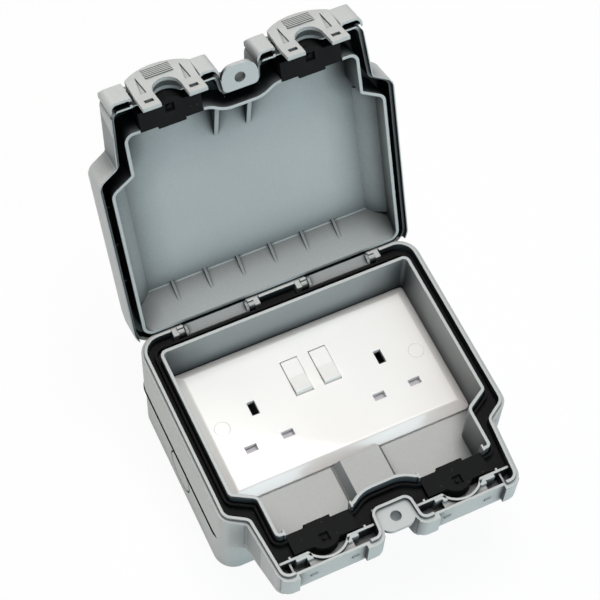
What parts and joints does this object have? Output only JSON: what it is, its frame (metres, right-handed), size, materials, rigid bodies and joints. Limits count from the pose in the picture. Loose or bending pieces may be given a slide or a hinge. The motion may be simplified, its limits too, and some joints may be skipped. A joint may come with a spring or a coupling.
{
  "type": "outdoor weatherproof socket",
  "caption": "Weatherproof wall socket with hinged lid, snap latches, cable grommets, switched outlets and sliding shutters, shown open.",
  "frame": {"origin": "centre of the back box's rear face", "axes": "+Z out of the wall, +Y towards the hinge, +X along the hinge"},
  "size_m": [0.1712, 0.2339, 0.2281],
  "materials": {
    "grey_body": "fine matt",
    "black_rubber": "matt",
    "white_plastic": "gloss",
    "housing_plastic": "plain",
    "steel": "zinc plated",
    "brass": "plain"
  },
  "bodies": {
    "base": {"back_box": "grey_body", "front_frame": "grey_body", "hinge_pins": "grey_body", "box_seal": "black_rubber", "frame_gasket": "black_rubber", "centre_gasket": "black_rubber", "base_grommet_left": "black_rubber", "base_grommet_right": "black_rubber", "socket_faceplate": "white_plastic", "screw_caps": "white_plastic", "module_housing": "housing_plastic", "plate_screws": "steel", "frame_screws": "steel", "module_screws": "steel", "terminal_screws": "steel", "shutter_spring_left": "steel", "shutter_spring_right": "steel", "lug_inserts": "brass", "earth_bar": "brass", "neutral_bar": "brass", "line_bus": "brass", "line_contact_left": "brass", "line_contact_right": "brass", "box_earth_terminal": "brass"},
    "lid": {"lid": "grey_body", "lid_grommet_left": "black_rubber", "lid_grommet_right": "black_rubber", "latch_pin_left": "steel", "latch_pin_right": "steel"},
    "latch_left": {"latch_left": "grey_body"},
    "rocker_left": {"rocker_left": "white_plastic", "switch_arm_left": "brass"},
    "shutter_left": {"shutter_left": "housing_plastic"},
    "latch_right": {"latch_right": "grey_body"},
    "rocker_right": {"rocker_right": "white_plastic", "switch_arm_right": "brass"},
    "shutter_right": {"shutter_right": "housing_plastic"}
  },
  "joints": [
    {"name": "lid_hinge", "type": "hinge", "parent": "base", "child": "lid", "pos_m": [0, 0.0555, 0.0725], "axis": [1, 0, 0], "range_deg": [0, 109.7]},
    {"name": "latch_left_pivot", "type": "hinge", "parent": "lid", "child": "latch_left", "pos_m": [-0.0394, 0.12157, 0.2155], "axis": [1, 0, 0], "range_deg": [-12, 2.6]},
    {"name": "latch_right_pivot", "type": "hinge", "parent": "lid", "child": "latch_right", "pos_m": [0.0394, 0.12157, 0.2155], "axis": [1, 0, 0], "range_deg": [-12, 2.6]},
    {"name": "rocker_left_switch", "type": "hinge", "parent": "base", "child": "rocker_left", "pos_m": [-0.0072, 0.013, 0.0502], "axis": [1, 0, 0], "range_deg": [0, 10.5]},
    {"name": "shutter_left_slide", "type": "slide", "parent": "base", "child": "shutter_left", "axis": [0, -1, 0], "range_m": [0, 0.005], "stiffness_N_per_m": 40, "springref_m": -0.004},
    {"name": "rocker_right_switch", "type": "hinge", "parent": "base", "child": "rocker_right", "pos_m": [0.0104, 0.013, 0.0502], "axis": [1, 0, 0], "range_deg": [0, 10.5]},
    {"name": "shutter_right_slide", "type": "slide", "parent": "base", "child": "shutter_right", "axis": [0, -1, 0], "range_m": [0, 0.005], "stiffness_N_per_m": 40, "springref_m": -0.004}
  ]
}
